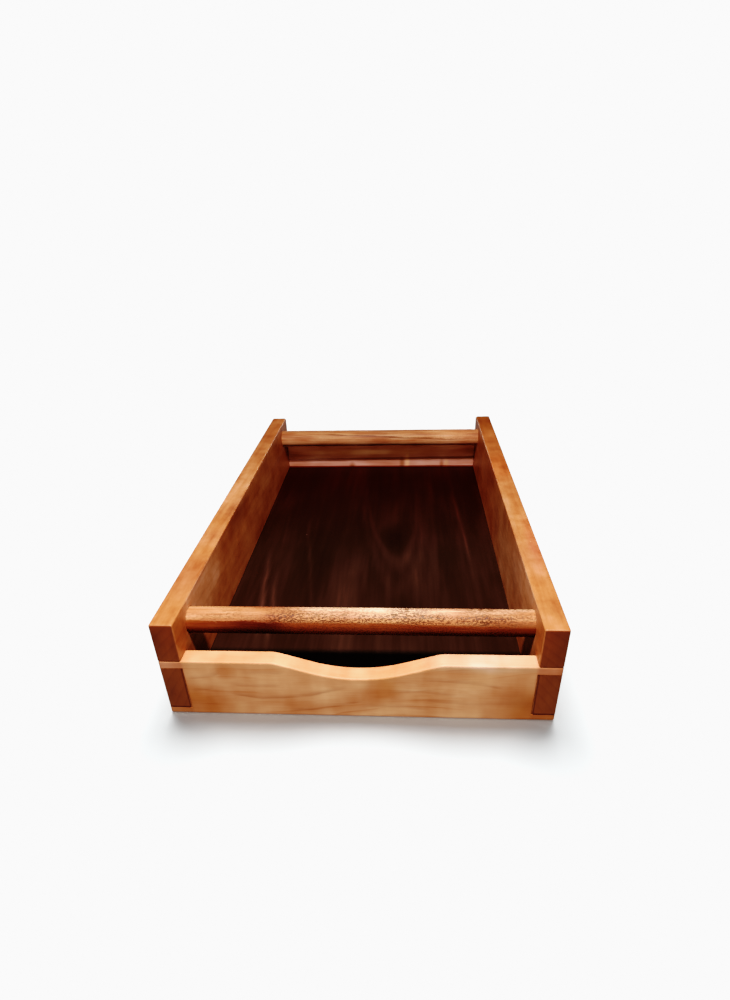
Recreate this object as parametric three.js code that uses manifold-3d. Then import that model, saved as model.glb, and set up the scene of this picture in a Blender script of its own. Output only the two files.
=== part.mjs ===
// Under-desk drawer: an open wooden tray with two tall sides, a low scooped front,
// a low back, a grooved-in panel for a bottom and two round bars between the sides.
//
// Frame: millimetres, +Z up, origin at the middle of the underside.
// X runs across the drawer, Y from its front (negative) to its back.

import * as THREE from 'three';
import { mergeVertices } from 'three/addons/utils/BufferGeometryUtils.js';
import Module from 'manifold-3d';

// ---- Driving dimensions -------------------------------------------------------------

const WIDTH = 320;                 // outside to outside of the two sides
const LENGTH = 512;                // front face to rear face
const SIDE_HEIGHT = 93;
const SIDE_THICKNESS = 19;
const END_HEIGHT = 57;             // front and rear boards
const FRONT_THICKNESS = 15;
const REAR_THICKNESS = 12;

const ARRIS = 1.2;                 // rounding along the edges of the boards
const REAR_CORNER_RADIUS = 5;      // top rear corner of each side

const TOP_FINGER = 7.3;            // height of the front board's upper corner finger
const BOTTOM_FINGER = 6.3;         // height of its lower corner finger

const SCOOP_WIDTH = 141;           // finger scoop in the front board's top edge
const SCOOP_DEPTH = 15.6;
const SCOOP_FLANK_ANGLE = Math.PI / 10;
const SCOOP_SHOULDER_RADIUS = 22;  // rounding where the scoop meets the straight edge

const DOWEL_DIAMETER = 22.4;
const DOWEL_HEIGHT = 72.6;         // centre line above the underside
const DOWEL_INSET = 35.4;          // centre line from the nearer end of the drawer
const DOWEL_SOCKET_DEPTH = 10;     // blind bore in the inner face of each side

const PANEL_THICKNESS = 6.4;
const PANEL_UNDERSIDE = 11.3;      // above the underside of the drawer
const GROOVE_DEPTH = 6;

const GAP = 0.3;                   // glue or running gap between pieces that meet

// ---- Worked out from them -----------------------------------------------------------

const halfWidth = WIDTH / 2;
const halfLength = LENGTH / 2;
const insideHalfWidth = halfWidth - SIDE_THICKNESS;
const frontFace = -halfLength;
const rearFace = halfLength;
const frontInnerFace = frontFace + FRONT_THICKNESS;
const rearInnerFace = rearFace - REAR_THICKNESS;
const fingerLine = END_HEIGHT - TOP_FINGER;
const frontDowelY = frontFace + DOWEL_INSET;
const rearDowelY = rearFace - DOWEL_INSET;
const dowelRadius = DOWEL_DIAMETER / 2;

const REACH = 40;                  // how far a cutting tool stands clear of the work
const MERGE_DISTANCE = 1e-4;       // vertices closer together than this are one
const ARRIS_STEPS = 2;
const ROUND_STEPS = 10;
const DOWEL_SIDES = 40;

// ---- Solids -------------------------------------------------------------------------

const wasm = await Module();
wasm.setup();

/** Turns a closed three.js geometry into a solid that can be cut. */
function solid(geometry) {
  const bare = geometry.index ? geometry.toNonIndexed() : geometry.clone();
  bare.deleteAttribute('normal');
  bare.deleteAttribute('uv');
  const merged = mergeVertices(bare, MERGE_DISTANCE);
  return new wasm.Manifold(new wasm.Mesh({
    numProp: 3,
    vertProperties: new Float32Array(merged.attributes.position.array),
    triVerts: new Uint32Array(merged.index.array),
  }));
}

/** Turns a cut solid back into a three.js geometry with flat faces. */
function geometryOf(manifold) {
  const mesh = manifold.getMesh();
  const geometry = new THREE.BufferGeometry();
  geometry.setAttribute('position', new THREE.BufferAttribute(new Float32Array(mesh.vertProperties), 3));
  geometry.setIndex(new THREE.BufferAttribute(new Uint32Array(mesh.triVerts), 1));
  const flat = geometry.toNonIndexed();
  flat.computeVertexNormals();
  return flat;
}

/** Box between two corners. */
function block(x0, x1, y0, y1, z0, z1) {
  const geometry = new THREE.BoxGeometry(x1 - x0, y1 - y0, z1 - z0);
  geometry.translate((x0 + x1) / 2, (y0 + y1) / 2, (z0 + z1) / 2);
  return solid(geometry);
}

/** Round bar along X between two places. */
function bar(x0, x1, y, z, radius) {
  const geometry = new THREE.CylinderGeometry(radius, radius, x1 - x0, DOWEL_SIDES);
  geometry.rotateZ(Math.PI / 2);
  geometry.translate((x0 + x1) / 2, y, z);
  return solid(geometry);
}

/** Plate of a given outline and thickness, its edges rounded by ARRIS, centred on its own plane. */
function easedPlate(outline, thickness) {
  const geometry = new THREE.ExtrudeGeometry(outline, {
    depth: thickness - 2 * ARRIS,
    curveSegments: ROUND_STEPS,
    bevelEnabled: true,
    bevelThickness: ARRIS,
    bevelSize: ARRIS,
    bevelOffset: -ARRIS,
    bevelSegments: ARRIS_STEPS,
  });
  geometry.translate(0, 0, -thickness / 2 + ARRIS);
  return geometry;
}

// ---- Sides --------------------------------------------------------------------------

/** Side board seen from the side: a long rectangle with its top rear corner rounded. */
function sideOutline() {
  const outline = new THREE.Shape();
  outline.moveTo(-halfLength, 0);
  outline.lineTo(halfLength, 0);
  outline.lineTo(halfLength, SIDE_HEIGHT - REAR_CORNER_RADIUS);
  outline.absarc(
    halfLength - REAR_CORNER_RADIUS, SIDE_HEIGHT - REAR_CORNER_RADIUS,
    REAR_CORNER_RADIUS, 0, Math.PI / 2, false,
  );
  outline.lineTo(-halfLength, SIDE_HEIGHT);
  outline.closePath();
  return outline;
}

/** Side board. hand is -1 for the left one and +1 for the right one. */
function sideBoard(hand) {
  const plate = easedPlate(sideOutline(), SIDE_THICKNESS);
  plate.rotateX(Math.PI / 2);
  plate.rotateZ(Math.PI / 2);
  plate.translate(hand * (halfWidth - SIDE_THICKNESS / 2), 0, 0);

  const span = (near, far) => [Math.min(hand * near, hand * far), Math.max(hand * near, hand * far)];
  const [notchLeft, notchRight] = span(insideHalfWidth - REACH, halfWidth + REACH);
  const [grooveLeft, grooveRight] = span(insideHalfWidth - REACH, insideHalfWidth + GROOVE_DEPTH);
  const [boreLeft, boreRight] = span(insideHalfWidth - REACH, insideHalfWidth + DOWEL_SOCKET_DEPTH);

  const cuts = [
    // room for the two fingers of each end board
    block(notchLeft, notchRight, frontFace - REACH, frontInnerFace + GAP, fingerLine - GAP, END_HEIGHT + GAP),
    block(notchLeft, notchRight, frontFace - REACH, frontInnerFace + GAP, -REACH, BOTTOM_FINGER + GAP),
    block(notchLeft, notchRight, rearInnerFace - GAP, rearFace + REACH, fingerLine - GAP, END_HEIGHT + GAP),
    block(notchLeft, notchRight, rearInnerFace - GAP, rearFace + REACH, -REACH, BOTTOM_FINGER + GAP),
    // stopped groove for the bottom panel
    block(
      grooveLeft, grooveRight,
      frontInnerFace - GROOVE_DEPTH, rearInnerFace + GROOVE_DEPTH,
      PANEL_UNDERSIDE - GAP, PANEL_UNDERSIDE + PANEL_THICKNESS + GAP,
    ),
    // blind bores for the two dowels
    bar(boreLeft, boreRight, frontDowelY, DOWEL_HEIGHT, dowelRadius + GAP),
    bar(boreLeft, boreRight, rearDowelY, DOWEL_HEIGHT, dowelRadius + GAP),
  ];
  return geometryOf(cuts.reduce((board, cut) => board.subtract(cut), solid(plate)));
}

// ---- End boards ---------------------------------------------------------------------

/** Rectangle of an end board seen from the front, with nothing cut from its top edge. */
function plainOutline() {
  const outline = new THREE.Shape();
  outline.moveTo(-halfWidth, 0);
  outline.lineTo(halfWidth, 0);
  outline.lineTo(halfWidth, END_HEIGHT);
  outline.lineTo(-halfWidth, END_HEIGHT);
  outline.closePath();
  return outline;
}

/**
 * Front board's outline. The scoop is a hollow arc between two straight flanks, and a small
 * rounding joins each flank to the straight top edge.
 */
function scoopedOutline() {
  const halfScoop = SCOOP_WIDTH / 2;
  const angle = SCOOP_FLANK_ANGLE;
  const shoulder = SCOOP_SHOULDER_RADIUS;
  // width and drop left for a flank and half of the hollow arc
  const width = halfScoop - shoulder * Math.sin(angle);
  const drop = SCOOP_DEPTH - shoulder * (1 - Math.cos(angle));
  const hollow = (width * Math.sin(angle) - drop * Math.cos(angle)) / (1 - Math.cos(angle));
  const hollowCentreZ = END_HEIGHT - SCOOP_DEPTH + hollow;
  const shoulderCentreZ = END_HEIGHT - shoulder;
  const up = Math.PI / 2;

  const outline = new THREE.Shape();
  outline.moveTo(-halfWidth, 0);
  outline.lineTo(halfWidth, 0);
  outline.lineTo(halfWidth, END_HEIGHT);
  outline.lineTo(halfScoop, END_HEIGHT);
  outline.absarc(halfScoop, shoulderCentreZ, shoulder, up, up + angle, false);
  outline.absarc(0, hollowCentreZ, hollow, -up + angle, -up - angle, true);
  outline.absarc(-halfScoop, shoulderCentreZ, shoulder, up - angle, up, false);
  outline.lineTo(-halfWidth, END_HEIGHT);
  outline.closePath();
  return outline;
}

/** Front or rear board. The sides' pins stand between its upper and lower fingers. */
function endBoard(outline, outerFace, innerFace) {
  const plate = easedPlate(outline, Math.abs(innerFace - outerFace));
  plate.rotateX(Math.PI / 2);
  plate.translate(0, (outerFace + innerFace) / 2, 0);

  const inward = Math.sign(innerFace - outerFace);
  const nearY = Math.min(outerFace, innerFace) - REACH;
  const farY = Math.max(outerFace, innerFace) + REACH;
  const grooveFloor = innerFace - inward * GROOVE_DEPTH;
  const grooveMouth = innerFace + inward * REACH;
  const cuts = [
    block(
      -insideHalfWidth, insideHalfWidth,
      Math.min(grooveFloor, grooveMouth), Math.max(grooveFloor, grooveMouth),
      PANEL_UNDERSIDE - GAP, PANEL_UNDERSIDE + PANEL_THICKNESS + GAP,
    ),
  ];
  for (const hand of [-1, 1]) {
    const inner = hand * (insideHalfWidth - GAP);
    const outer = hand * (halfWidth + REACH);
    cuts.push(block(
      Math.min(inner, outer), Math.max(inner, outer), nearY, farY, BOTTOM_FINGER, fingerLine,
    ));
  }
  return geometryOf(cuts.reduce((board, cut) => board.subtract(cut), solid(plate)));
}

// ---- Bottom panel and dowels --------------------------------------------------------

function bottomPanel() {
  const reach = GROOVE_DEPTH - GAP;
  return geometryOf(block(
    -insideHalfWidth - reach, insideHalfWidth + reach,
    frontInnerFace - reach, rearInnerFace + reach,
    PANEL_UNDERSIDE, PANEL_UNDERSIDE + PANEL_THICKNESS,
  ));
}

function dowel(y) {
  const halfSpan = insideHalfWidth + DOWEL_SOCKET_DEPTH - GAP;
  return geometryOf(bar(-halfSpan, halfSpan, y, DOWEL_HEIGHT, dowelRadius));
}

// ---- Materials ----------------------------------------------------------------------

function wood(colour, roughness) {
  return new THREE.MeshStandardMaterial({ color: colour, roughness, metalness: 0 });
}

const sideWood = wood('#b9772f', 0.45);
const paleWood = wood('#cf9c62', 0.5);
const darkWood = wood('#2e1009', 0.25);
const dowelWood = wood('#d9a06c', 0.5);

// ---- Assembly -----------------------------------------------------------------------

const drawer = new THREE.Group();

function add(name, geometry, material) {
  const mesh = new THREE.Mesh(geometry, material);
  mesh.name = name;
  drawer.add(mesh);
}

add('left_side', sideBoard(-1), sideWood);
add('right_side', sideBoard(1), sideWood);
add('front_board', endBoard(scoopedOutline(), frontFace, frontInnerFace), paleWood);
add('rear_board', endBoard(plainOutline(), rearFace, rearInnerFace), paleWood);
add('bottom_panel', bottomPanel(), darkWood);
add('front_dowel', dowel(frontDowelY), dowelWood);
add('rear_dowel', dowel(rearDowelY), dowelWood);

export default drawer;
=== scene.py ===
import math

import bpy
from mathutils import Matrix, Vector, noise


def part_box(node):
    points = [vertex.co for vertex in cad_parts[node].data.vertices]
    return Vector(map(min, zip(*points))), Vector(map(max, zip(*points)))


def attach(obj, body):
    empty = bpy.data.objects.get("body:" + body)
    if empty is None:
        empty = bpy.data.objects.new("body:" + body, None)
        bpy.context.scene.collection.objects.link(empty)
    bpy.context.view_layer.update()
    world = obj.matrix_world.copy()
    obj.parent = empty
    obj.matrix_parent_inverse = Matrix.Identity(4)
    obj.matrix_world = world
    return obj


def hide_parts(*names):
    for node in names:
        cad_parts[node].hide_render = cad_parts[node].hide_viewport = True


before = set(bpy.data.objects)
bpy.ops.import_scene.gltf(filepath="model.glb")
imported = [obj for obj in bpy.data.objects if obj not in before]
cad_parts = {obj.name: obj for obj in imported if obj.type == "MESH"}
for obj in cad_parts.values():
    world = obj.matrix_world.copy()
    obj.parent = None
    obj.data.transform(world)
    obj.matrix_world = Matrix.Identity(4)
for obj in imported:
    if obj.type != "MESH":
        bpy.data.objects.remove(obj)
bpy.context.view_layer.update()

# Under-desk drawer: detailed boards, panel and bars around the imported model.
# Metres, +Z up. X runs across the drawer, Y from its front (negative) to its back.

MM = 0.001

# ---- Driving dimensions -------------------------------------------------------------

ARRIS = 1.3 * MM                  # rounding along the boards' edges
LEAST_ARRIS = 0.1 * MM            # what is left of it at the very ends of a board
REAR_CORNER_RADIUS = 5 * MM       # top rear corner of each side

TOP_FINGER = 7.3 * MM             # corner fingers of the end boards
BOTTOM_FINGER = 6.3 * MM
JOINT_GAP = 0.3 * MM

SCOOP_WIDTH = 141 * MM
SCOOP_DEPTH = 15.6 * MM
SCOOP_FLANK_ANGLE = math.pi / 10
SCOOP_SHOULDER_RADIUS = 22 * MM

GROOVE_DEPTH = 6 * MM
SOCKET_DEPTH = 10 * MM

WOBBLE = 0.12 * MM                # how far a planed face strays inward from flat
ARRIS_WOBBLE = 0.35 * MM          # and a hand-eased edge
BROAD_WAVES = 22                  # about how many a metre, for the faces
FINE_WAVES = 140                  # for the edges
SAW_WAVES = 160                   # for what a saw and chisel leave
SUPPORT = 0.8 * MM                # closest loop beside a rounded edge
SHARP = math.radians(32)          # edges that turn more than this are shaded as sharp

CUTTER_REACH = 20 * MM            # how far a cutting block stands clear of the work
GROOVE_ROUGHNESS = 0.05 * MM
GROOVE_PITCH = 12 * MM            # vertex spacing on the groove's cutting block

BORE_SIDES = 64
BAR_SIDES = 80
BAR_SWELL = 0.20 * MM             # how far a bar is from round
BAR_GRAIN = 0.09 * MM             # depth of the open grain along it

# ---- Places taken from the frame ----------------------------------------------------

right_low, right_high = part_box("right_side")
front_low, front_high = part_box("front_board")
rear_low, rear_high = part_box("rear_board")
panel_low, panel_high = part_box("bottom_panel")
front_bar_low, front_bar_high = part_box("front_dowel")
rear_bar_low, rear_bar_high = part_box("rear_dowel")

side_height = right_high.z
end_height = front_high.z
front_face = front_low.y
front_inner = front_high.y
rear_inner = rear_low.y
rear_face = rear_high.y
inside = right_low.x              # inner face of the right side, which the left one mirrors
outside = right_high.x
finger_line = end_height - TOP_FINGER
in_front_board = front_face + 6 * MM
bar_z = (front_bar_low.z + front_bar_high.z) / 2
front_bar_y = (front_bar_low.y + front_bar_high.y) / 2
rear_bar_y = (rear_bar_low.y + rear_bar_high.y) / 2


# ---- Mesh building ------------------------------------------------------------------

def spaced(start, stop, pitch):
    """Evenly spaced values from start to stop, no further apart than pitch."""
    slack = 1e-6  # so that rounding error adds no step
    count = max(1, math.ceil(abs(stop - start) / pitch - slack))
    return [start + (stop - start) * i / count for i in range(count + 1)]


def rounded_rectangle(a0, a1, b0, b1, radius, a_count, b_count, steps=4):
    """Points round a rectangle with rounded corners, counter-clockwise from its right side."""
    centres = [(a1 - radius, b1 - radius), (a0 + radius, b1 - radius),
               (a0 + radius, b0 + radius), (a1 - radius, b0 + radius)]
    points = []
    for corner, (ca, cb) in enumerate(centres):
        for step in range(steps + 1):
            angle = math.pi / 2 * (corner + step / steps)
            points.append((ca + radius * math.cos(angle), cb + radius * math.sin(angle)))
        na, nb = centres[(corner + 1) % 4]
        turn = math.pi / 2 * (corner + 1)
        begin = Vector(points[-1])
        run = Vector((na + radius * math.cos(turn), nb + radius * math.sin(turn))) - begin
        count = a_count if corner % 2 == 0 else b_count
        support = min(0.25, SUPPORT / max(run.length, SUPPORT))
        shares = [support] + spaced(support, 1 - support, (1 - 2 * support) / max(count, 1))[1:]
        if count > 1:
            points.extend(tuple(begin + run * share) for share in shares)
    return points


def end_inset(distance, radius):
    """How far a section draws in where it is this close to a rounded end."""
    if distance >= radius:
        return 0.0
    return radius - math.sqrt(max(0.0, radius ** 2 - (radius - distance) ** 2))


def stations(start, stop, pitch, radius, steps=4):
    """Places along a board, closer together where its two ends round off."""
    arc = [radius * (1 - math.cos(math.pi / 2 * i / steps)) for i in range(1, steps)]
    middle = spaced(start + radius, stop - radius, pitch)
    return ([start] + [start + d for d in arc] + middle
            + [stop - d for d in reversed(arc)] + [stop])


def loft(name, rings):
    """Closed mesh through rings of points that all have the same number of points."""
    count = len(rings[0])
    vertices = [point for ring in rings for point in ring]
    faces = []
    for r in range(len(rings) - 1):
        here, there = r * count, (r + 1) * count
        for i in range(count):
            j = (i + 1) % count
            faces.append((here + i, here + j, there + j, there + i))
    faces.append(tuple(reversed(range(count))))
    last = (len(rings) - 1) * count
    faces.append(tuple(range(last, last + count)))
    mesh = bpy.data.meshes.new(name)
    mesh.from_pydata(vertices, [], faces)
    mesh.validate()
    piece = bpy.data.objects.new(name, mesh)
    bpy.context.scene.collection.objects.link(piece)
    return piece


def weather(piece, seed, face_depth=WOBBLE, edge_depth=ARRIS_WOBBLE):
    """Wears vertices inward by smooth noise, most along the arrises, and marks those for finish."""
    mesh = piece.data
    normals = [Vector(n.vector) for n in mesh.vertex_normals]
    wear = mesh.attributes.new("arris", "FLOAT", "POINT")
    offset = Vector((seed * 1.7, seed * 3.1, seed * 5.3))
    for vertex, normal in zip(mesh.vertices, normals):
        flatness = max(abs(normal.x), abs(normal.y), abs(normal.z))
        edge = min(1.0, max(0.0, (1.0 - flatness) / 0.25))
        slow = 0.5 + 0.5 * noise.noise(vertex.co * BROAD_WAVES + offset)
        quick = 0.5 + 0.5 * noise.noise(vertex.co * FINE_WAVES + offset * 2)
        depth = face_depth * slow * (1 - edge) + edge_depth * (0.6 * slow + 0.4 * quick) * edge
        vertex.co -= normal * min(max(depth, 0.0), edge_depth)
        wear.data[vertex.index].value = edge
    mesh.update()


def cut(piece, cutters):
    """Takes each cutter out of the piece, then removes the cutter."""
    for cutter in cutters:
        modifier = piece.modifiers.new("cut", "BOOLEAN")
        modifier.operation = "DIFFERENCE"
        modifier.solver = "EXACT"
        modifier.object = cutter
        with bpy.context.temp_override(object=piece, active_object=piece):
            bpy.ops.object.modifier_apply(modifier=modifier.name)
        mesh = cutter.data
        bpy.data.objects.remove(cutter)
        bpy.data.meshes.remove(mesh)


def sawn_block(x0, x1, y0, y1, z0, z1, seed, roughness=0.12 * MM, pitch=2.5 * MM):
    """Cutting block whose faces stray slightly, as a saw and chisel leave them."""
    a_count = max(1, round(abs(x1 - x0) / pitch))
    b_count = max(1, round(abs(z1 - z0) / pitch))
    rings = []
    for y in spaced(y0, y1, pitch):
        section = rounded_rectangle(x0, x1, z0, z1, 0.05 * MM, a_count, b_count, steps=1)
        rings.append([(x, y, z) for x, z in reversed(section)])
    block = loft("cutter", rings)
    normals = [Vector(n.vector) for n in block.data.vertex_normals]
    offset = Vector((seed * 2.3, seed * 4.7, seed * 1.9))
    for vertex, normal in zip(block.data.vertices, normals):
        vertex.co += normal * roughness * noise.noise(vertex.co * SAW_WAVES + offset)
    return block


def round_cutter(x0, x1, y, z, radius):
    """Round cutting bar along X."""
    rings = []
    for x in (x0, x1):
        ring = []
        for i in range(BORE_SIDES):
            angle = 2 * math.pi * i / BORE_SIDES
            ring.append((x, y + radius * math.cos(angle), z + radius * math.sin(angle)))
        rings.append(ring)
    return loft("cutter", rings)


def finish_piece(piece, node, material):
    """Shading, material and the ties to the frame."""
    mesh = piece.data
    mesh.polygons.foreach_set("use_smooth", [True] * len(mesh.polygons))
    mesh.set_sharp_from_angle(angle=SHARP)
    mesh.materials.clear()
    mesh.materials.append(material)
    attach(piece, "root")
    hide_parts(node)


# ---- Materials ----------------------------------------------------------------------

class Shader:
    """Short ways to add and link the nodes of one owner: a material or the world."""

    def __init__(self, owner):
        self.owner = owner
        self.owner.use_nodes = True
        self.tree = self.owner.node_tree
        self.tree.nodes.clear()
        self.coordinates = self.node("ShaderNodeTexCoord")

    def node(self, kind, inputs=None, **settings):
        made = self.tree.nodes.new(kind)
        for key, value in settings.items():
            setattr(made, key, value)
        for key, value in (inputs or {}).items():
            if isinstance(value, bpy.types.NodeSocket):
                self.tree.links.new(value, made.inputs[key])
            else:
                made.inputs[key].default_value = value
        return made

    def math(self, operation, a, b=0.0, c=0.0, clamp=False):
        return self.node("ShaderNodeMath", {0: a, 1: b, 2: c}, operation=operation,
                         use_clamp=clamp).outputs[0]

    def times(self, a, b):
        return self.math("MULTIPLY", a, b)

    def vector(self, operation, a, b=(0.0, 0.0, 0.0)):
        return self.node("ShaderNodeVectorMath", {0: a, 1: b}, operation=operation).outputs[0]

    def position(self, stretch=(1.0, 1.0, 1.0), offset=(0.0, 0.0, 0.0)):
        """Place in the drawer's frame. A stretch below 1 draws patterns out along that axis."""
        place = self.vector("MULTIPLY", self.coordinates.outputs["Object"], stretch)
        return self.vector("ADD", place, offset)

    def noise(self, vector, scale, detail=2.0, roughness=0.5):
        return self.node("ShaderNodeTexNoise", {
            "Vector": vector, "Scale": scale, "Detail": detail, "Roughness": roughness,
        }).outputs["Fac"]

    def total(self, base, *parts):
        """The base plus each signal, measured from its middle, times its weight."""
        value = base - sum(weight for _, weight in parts) / 2
        for signal, weight in parts:
            value = self.math("MULTIPLY_ADD", signal, weight, value)
        return value

    def ramp(self, factor, stops):
        """Colour, or a grey number, along the factor. Each stop is (place, colour or number)."""
        made = self.node("ShaderNodeValToRGB", {"Fac": factor})
        elements = made.color_ramp.elements
        while len(elements) < len(stops):
            elements.new(0.5)
        for element, (place, colour) in zip(elements, stops):
            element.position = place
            element.color = (colour, colour, colour, 1.0) if isinstance(colour, float) else colour
        return made.outputs["Color"]

    def band(self, factor, low, high, to_low=0.0, to_high=1.0):
        """Factor carried from low..high to another range, held at its ends."""
        return self.node("ShaderNodeMapRange", {
            "Value": factor, "From Min": low, "From Max": high,
            "To Min": to_low, "To Max": to_high,
        }).outputs["Result"]

    def mix(self, factor, a, b, blend="MIX"):
        """Mix of two colours."""
        made = self.node("ShaderNodeMix", {0: factor, 6: a, 7: b}, data_type="RGBA",
                         blend_type=blend)
        return made.outputs[2]

    def between(self, factor, a, b):
        """Mix of two numbers."""
        return self.node("ShaderNodeMix", {0: factor, 2: a, 3: b}).outputs[0]

    def rings(self, axis, centre, lean, spacing, warp, warp_scale):
        """Growth ring phase, 0 to 1: distance from a leaning pith line, bent by slow noise."""
        place = self.vector("SUBTRACT", self.coordinates.outputs["Object"], centre)
        turned = self.node("ShaderNodeMapping", {"Vector": place, "Rotation": lean}).outputs[0]
        flat = [1.0, 1.0, 1.0]
        flat[axis] = 0.0
        across = self.vector("MULTIPLY", turned, flat)
        radius = self.node("ShaderNodeVectorMath", {0: across}, operation="LENGTH").outputs["Value"]
        drawn = [1.0, 1.0, 1.0]
        drawn[axis] = 0.3
        bend = self.noise(self.position(drawn, centre), warp_scale, 2.0, 0.45)
        bent = self.math("MULTIPLY_ADD", bend, warp, radius)
        return self.math("FRACT", self.math("DIVIDE", bent, spacing))

    def facing(self, axis):
        """How squarely the surface faces along one axis, 0 to 1."""
        split = self.node("ShaderNodeSeparateXYZ", {"Vector": self.coordinates.outputs["Normal"]})
        return self.math("ABSOLUTE", split.outputs[axis])

    def turned_to(self, direction):
        """Cosine between the surface normal and one direction."""
        return self.node("ShaderNodeVectorMath", {
            0: self.coordinates.outputs["Normal"], 1: direction,
        }, operation="DOT_PRODUCT").outputs["Value"]

    def place_along(self, axis):
        split = self.node("ShaderNodeSeparateXYZ", {"Vector": self.coordinates.outputs["Object"]})
        return split.outputs[axis]

    def spot(self, centre, size, ragged=0.5):
        """Soft patch round a place, 1 in the middle, with an uneven rim. Size is per axis."""
        offset = self.vector("SUBTRACT", self.coordinates.outputs["Object"], centre)
        scaled = self.vector("DIVIDE", offset, size)
        far = self.node("ShaderNodeVectorMath", {0: scaled}, operation="LENGTH").outputs["Value"]
        rim = self.math("MULTIPLY_ADD", self.noise(self.position((1, 1, 1), centre), 40.0), ragged, far)
        return self.band(rim, 1.0 + ragged / 2, 0.3 + ragged / 2)

    def specks(self, stretch, scale, share, size):
        """Small scattered marks, 1 inside a mark: only a share of the cells hold one."""
        cells = self.node("ShaderNodeTexVoronoi", {"Vector": self.position(stretch), "Scale": scale})
        chosen = self.node("ShaderNodeSeparateColor", {"Color": cells.outputs["Color"]}).outputs[0]
        held = self.math("LESS_THAN", chosen, share)
        return self.times(held, self.band(cells.outputs["Distance"], size, size * 0.4))

    def tint(self, factor, colour, by):
        """Colour multiplied by another where the factor is 1."""
        return self.mix(factor, colour, self.mix(1.0, colour, by, "MULTIPLY"))

    def finish(self, colour, roughness, height, relief, coat, coat_roughness, gleam=0.5):
        """Edges paler from wear and painted highlight, lacquer and relief, then the output."""
        arris_mask = self.node("ShaderNodeAttribute", attribute_name="arris").outputs["Fac"]
        rub_and_glint = self.band(self.noise(self.position(), 160.0), 0.40, 0.62, 0.0, 0.3)
        rubbed_and_highlit = self.times(arris_mask, rub_and_glint)
        # Wear and painted highlight: the arrises are made paler in patches, for rubbed edges and for
        # the light they catch.
        colour = self.tint(rubbed_and_highlit, colour, tone(1.25, 1.3, 1.35))
        roughness = self.math("MULTIPLY_ADD", arris_mask, 0.2, roughness, clamp=True)
        normal = self.node("ShaderNodeBump", {
            "Strength": 1.0, "Distance": relief, "Height": height,
        }).outputs["Normal"]
        surface = self.node("ShaderNodeBsdfPrincipled", {
            "Base Color": colour, "Roughness": roughness, "Normal": normal,
            "Coat Weight": coat, "Coat Roughness": coat_roughness, "Specular IOR Level": gleam,
        })
        self.node("ShaderNodeOutputMaterial", {"Surface": surface.outputs["BSDF"]})
        return self.owner


UP = (0.0, 0.0, 1.0)
DOWN = (0.0, 0.0, -1.0)
TO_FRONT = (0.0, -1.0, 0.0)


def tone(red, green, blue):
    return (red, green, blue, 1.0)


# Paler and darker areas of the side boards: centre, size and cast.
SIDE_PATCHES = (
    ((-0.151, -0.020, side_height), (0.030, 0.060, 0.008), tone(1.25, 1.45, 1.8)),
    ((-0.151, -0.185, side_height), (0.030, 0.045, 0.008), tone(0.80, 0.70, 0.70)),
    ((-0.151, -0.115, side_height), (0.030, 0.025, 0.008), tone(1.05, 1.10, 1.30)),
    ((0.156, -0.120, side_height), (0.008, 0.060, 0.008), tone(1.0, 0.85, 0.95)),
    ((0.150, 0.230, side_height), (0.030, 0.060, 0.012), tone(0.62, 0.55, 0.34)),
    ((0.150, 0.060, side_height), (0.030, 0.060, 0.012), tone(0.95, 0.78, 0.66)),
    ((0.151, -0.150, side_height), (0.012, 0.050, 0.008), tone(0.92, 0.88, 0.98)),
    ((0.149, -0.235, side_height), (0.020, 0.030, 0.008), tone(1.03, 1.10, 1.20)),
    ((-0.141, -0.050, 0.085), (0.010, 0.050, 0.020), tone(0.75, 0.70, 0.70)),
    ((0.141, -0.080, 0.050), (0.010, 0.110, 0.060), tone(1.12, 1.42, 1.95)),
)


def side_areas(s, colour, across, along):
    """Redder toward the right rear, patches, inner faces redder as painted shade, and painted light
    inside, behind the front bar.
    """
    deeper = s.band(s.math("MULTIPLY_ADD", across, 0.35, along), 0.05, 0.28, 0.0, 0.85)
    colour = s.tint(deeper, colour, tone(1.0, 0.78, 0.5))
    for centre, size, cast in SIDE_PATCHES:
        colour = s.tint(s.spot(centre, size), colour, cast)
    inner_side = s.band(s.math("ABSOLUTE", across), inside + 3 * MM, inside + 1 * MM)
    inner_face = s.times(s.band(s.facing(0), 0.75, 0.95), inner_side)
    # Painted shade: the inner faces are made redder than the rest of the board, for the warm shade
    # inside the drawer.
    colour = s.tint(inner_face, colour, tone(1.0, 0.92, 0.85))
    # Painted light: a pale pool on the inner faces just behind the front bar, where the key lights
    # them.
    behind_board = s.band(along, front_inner + 5 * MM, front_inner + 19 * MM)
    painted_light_behind_bar = s.times(behind_board, s.spot((0.0, -0.190, 0.085), (1.0, 0.085, 0.055)))
    return s.tint(s.times(inner_face, painted_light_behind_bar), colour, tone(1.6, 2.2, 3.3))


def side_end_grain(s, across, line):
    """Sawn end: darker toward the top, and almost black where it meets the front board."""
    up = s.place_along(2)
    saw = s.noise(s.position((1.0, 1.0, 0.12)), 500.0, 3.0, 0.6)
    depth = s.total(0.5, (s.noise(s.position(), 60.0), 0.6), (saw, 0.4), (line, -0.15))
    end_grain = s.ramp(depth, [(0.1, tone(0.140, 0.034, 0.008)), (0.9, tone(0.235, 0.070, 0.018))])
    end_grain = s.tint(s.band(up, 0.045, 0.09), end_grain, tone(0.72, 0.62, 0.6))
    beside_inner = s.band(s.math("ABSOLUTE", across), inside + 2.0 * MM, inside + 0.8 * MM)
    beside_finger = s.band(up, BOTTOM_FINGER + 2.1 * MM, BOTTOM_FINGER + 0.9 * MM)
    beside_joint = s.math("MAXIMUM", beside_inner, beside_finger)
    below_joint = s.band(up, finger_line + 1.3 * MM, finger_line + 0.3 * MM)
    return s.tint(s.times(beside_joint, below_joint), end_grain, tone(0.34, 0.22, 0.16))


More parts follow.
